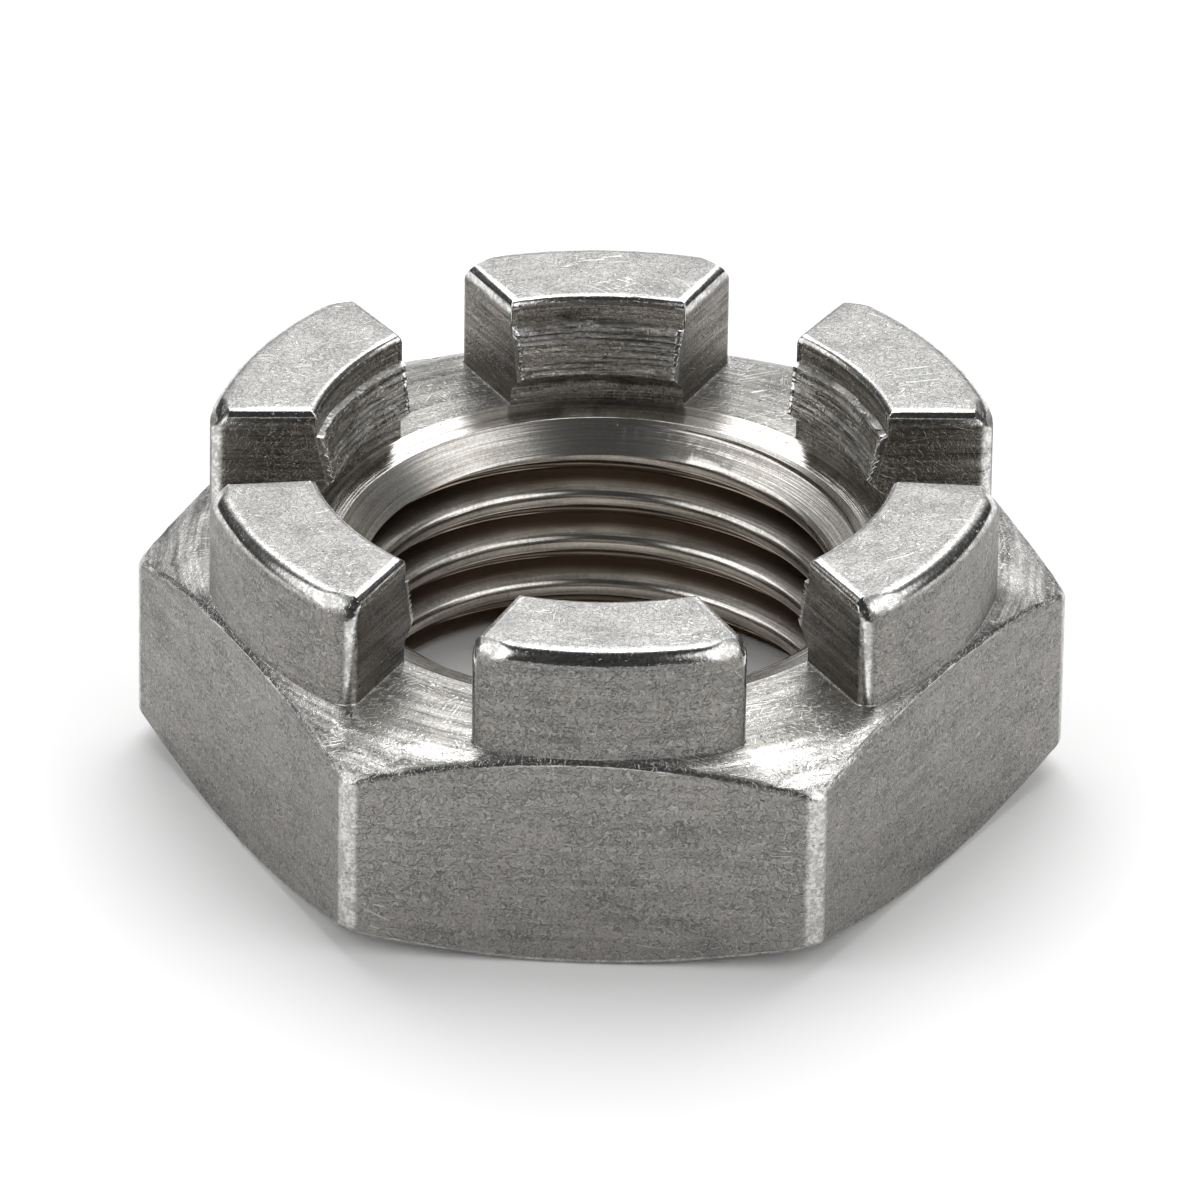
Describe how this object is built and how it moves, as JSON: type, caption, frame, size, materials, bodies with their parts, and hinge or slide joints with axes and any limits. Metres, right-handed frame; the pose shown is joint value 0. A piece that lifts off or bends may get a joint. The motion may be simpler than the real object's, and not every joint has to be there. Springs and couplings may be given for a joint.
{
  "type": "castle nut",
  "caption": "Thin hexagonal castle nut in satin steel, with a threaded bore and a crown of square lugs with slots between them for a split pin.",
  "frame": {"origin": "centre of the bearing face, on the thread's axis", "axes": "+Z along the thread's axis, from the bearing face towards the lugs; X through two opposite corners of the hexagon"},
  "size_m": [0.0528, 0.046, 0.0202],
  "materials": {
    "steel": "satin, drawn flats with turned and milled cuts"
  },
  "bodies": {
    "root": {"castle_nut": "steel"}
  },
  "joints": []
}
